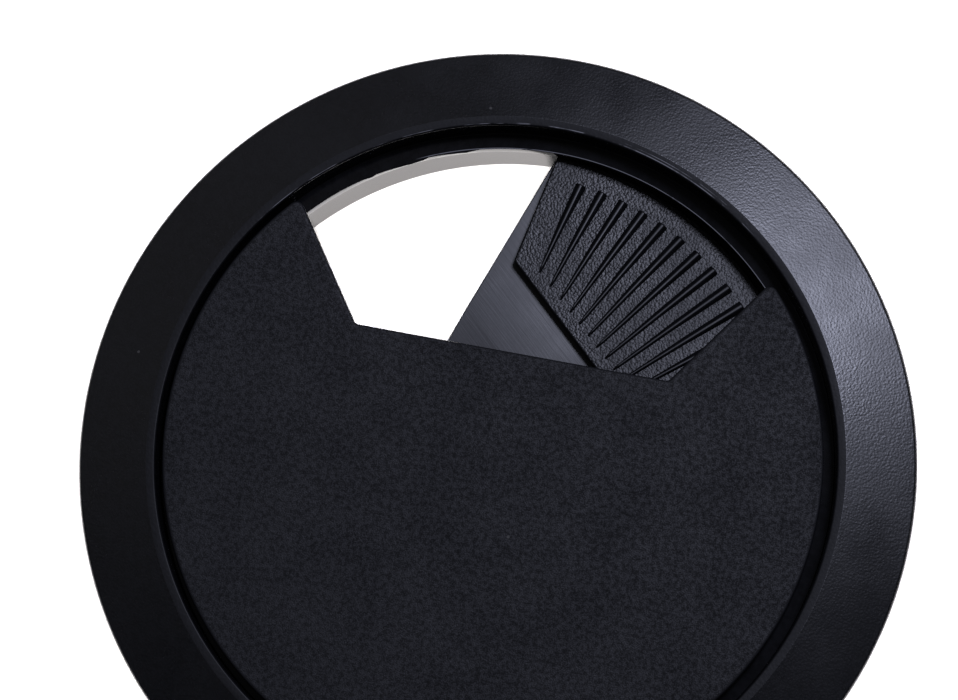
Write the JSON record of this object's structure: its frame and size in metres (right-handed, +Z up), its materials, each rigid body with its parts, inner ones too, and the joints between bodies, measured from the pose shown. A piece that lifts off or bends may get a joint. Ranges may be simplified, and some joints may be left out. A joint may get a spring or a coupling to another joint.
{
  "type": "desk cable grommet",
  "caption": "Round plastic desk grommet with a sloping flange, a drop-in notched lid and a ribbed shutter that turns under the lid to open or close the cable notch",
  "frame": {"origin": "on the liner's axis, at the bottom end of its sleeve", "axes": "+Z up out of the desk top; +Y from the axis to the middle of the lid's notch; +X completes a right-handed frame. The shutter stands part open at rest. Its wing slopes down towards the rim and reaches under the ledge."},
  "size_m": [0.095, 0.095, 0.0166],
  "materials": {
    "liner_plastic": "black, fine moulded grain on the flange, satin inside",
    "lid_plastic": "black, fine even moulded grain, satin notch edges",
    "shutter_plastic": "black, satin plate with fine tool marks, coarse leather grain on the thumb pad"
  },
  "bodies": {
    "liner": {"liner": "liner_plastic"},
    "lid": {"lid": "lid_plastic"},
    "shutter": {"shutter": "shutter_plastic"}
  },
  "joints": [
    {"name": "lid_turn", "type": "hinge", "parent": "liner", "child": "lid", "pos_m": [-0.00045, 0.00021, 0.0138], "axis": [0, 0, 1], "continuous": true},
    {"name": "shutter_turn", "type": "hinge", "parent": "lid", "child": "shutter", "pos_m": [-0.00045, 0.00021, 0.011], "axis": [0, 0, 1], "continuous": true}
  ]
}
